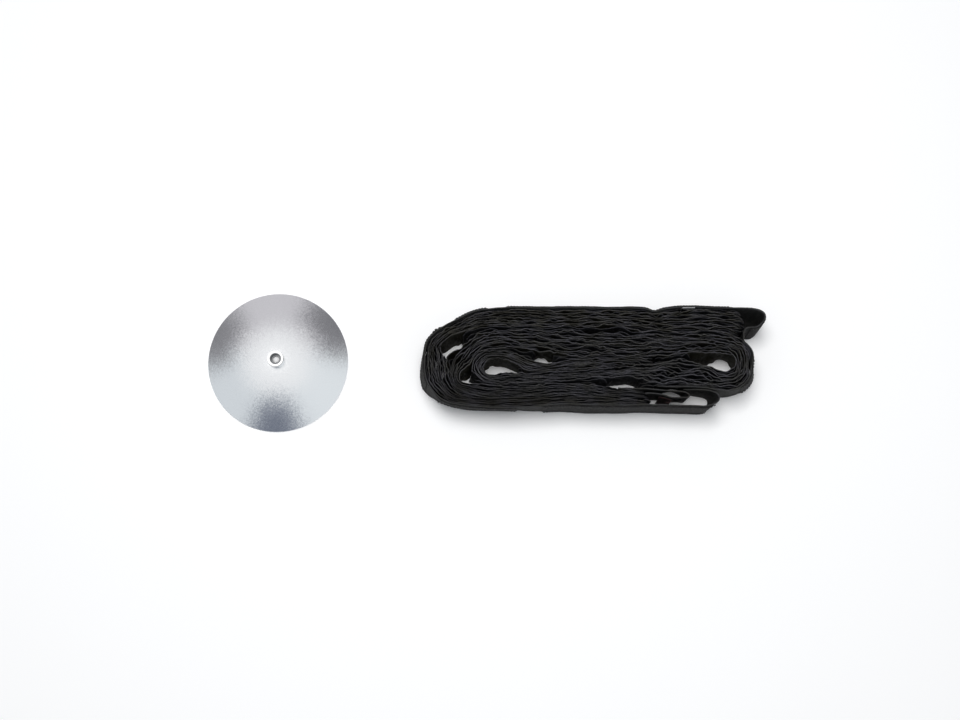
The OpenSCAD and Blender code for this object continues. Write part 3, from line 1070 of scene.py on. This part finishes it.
def darken_gap(tree, away, heading, colour, gap):
    """The colour with one dark gap in it."""
    degrees, wide, narrow, starts, full, shade = gap
    towards = (math.cos(math.radians(degrees)), math.sin(math.radians(degrees)), 0)
    facing = vector_node(tree, "DOT_PRODUCT", heading, towards)
    within = map_range(tree, facing, math.cos(math.radians(wide)), math.cos(math.radians(narrow)),
                       kind="SMOOTHSTEP")
    reach = map_range(tree, away, starts, full, kind="SMOOTHSTEP")
    return blend_colours(tree, math_node(tree, "MULTIPLY", within, reach), colour, shade)


def make_world():
    """Soft boxes overhead, placed as the dome mirrors them to the lens, on a white surround."""
    world = bpy.data.worlds.new("studio")
    world.use_nodes = True
    bpy.context.scene.world = world
    tree = world.node_tree
    away, heading = mirror_place(tree)
    colour = soft_boxes(tree, away, heading)
    for gap in GAPS:
        colour = darken_gap(tree, away, heading, colour, gap)
    colour = blend_colours(tree, map_range(tree, away, *BOXES_END, kind="SMOOTHSTEP"), colour, HORIZON)
    in_camera, in_view = rays(tree)
    background = tree.nodes["Background"]
    tree.links.new(blend_colours(tree, in_camera, colour, WHITE), background.inputs["Color"])
    strength = map_range(tree, in_view, 0.0, 1.0, WORLD_SHARE, 1.0)
    tree.links.new(strength, background.inputs["Strength"])


def make_lamp():
    """A soft lamp that the metal doesn't mirror: the world's soft boxes show there instead."""
    place, aim = Vector((-0.06, 0.23, 2.2)), Vector((0.05, 0, 0))
    lamp = bpy.data.lights.new("overhead_box", "AREA")
    lamp.shape = "RECTANGLE"
    lamp.size, lamp.size_y = 0.8, 1.1
    lamp.energy = 36.0
    holder = bpy.data.objects.new("overhead_box", lamp)
    holder.location = place
    holder.rotation_euler = (aim - place).to_track_quat("-Z", "Y").to_euler()
    holder.visible_glossy = False
    bpy.context.scene.collection.objects.link(holder)


def make_camera():
    """A long lens that looks down from 80 degrees of elevation."""
    sensor, image_width, focal_px = 36.0, 960, 1600
    elevation, distance = math.radians(80), 1.65
    target = Vector((-2.5, 3, 0)) * MM
    camera = bpy.data.cameras.new("camera")
    camera.sensor_width = sensor
    camera.lens = sensor * focal_px / image_width
    holder = bpy.data.objects.new("camera", camera)
    holder.location = target + distance * Vector((0, -math.cos(elevation), math.sin(elevation)))
    holder.rotation_euler = (math.pi / 2 - elevation, 0, 0)
    bpy.context.scene.collection.objects.link(holder)
    bpy.context.scene.camera = holder


# ---------------------------------------------------------------- the whole set

make_camera()
make_floor()
make_world()
make_lamp()
bpy.context.scene.view_settings.view_transform = "Standard"

finish_metal()
band = smooth(middle_line("edge_band", from_bundle(*BAND_START)), STEP)
band_tree = tree_of(band)
outer = strip_lines("outer", from_bundle(*OUTER_START), OUTER_LONGER, band_tree)
inner = strip_lines("inner", from_bundle(*INNER_START), INNER_LONGER, band_tree)
loop = smooth(middle_line("corner_loop", BUNDLE), STEP)
upright = Room({**outer, **inner, "the_band": band, "the_loop": loop})
make_strips(outer, upright, [LINING, NYLON], 0)
make_strips(inner, upright, [NYLON, LINING], len(outer))
make_cross_strips("cross_strips_outer", outer, upright, OUTER_SEED)
make_cross_strips("cross_strips_inner", inner, upright, INNER_SEED)
make_band(band)
for tape_node in nodes_of("hook_tape_"):
    make_tape(tape_node, band_tree)
make_plain_ribbon("corner_loop", "loop_webbing", BAND_T, WEBBING)
make_plain_ribbon("corner_curl", "curled_end", CURL_T, CURL, left_out=CURL_HIDDEN)
make_plain_ribbon("care_label", "bare_label", LABEL_T, LABEL)
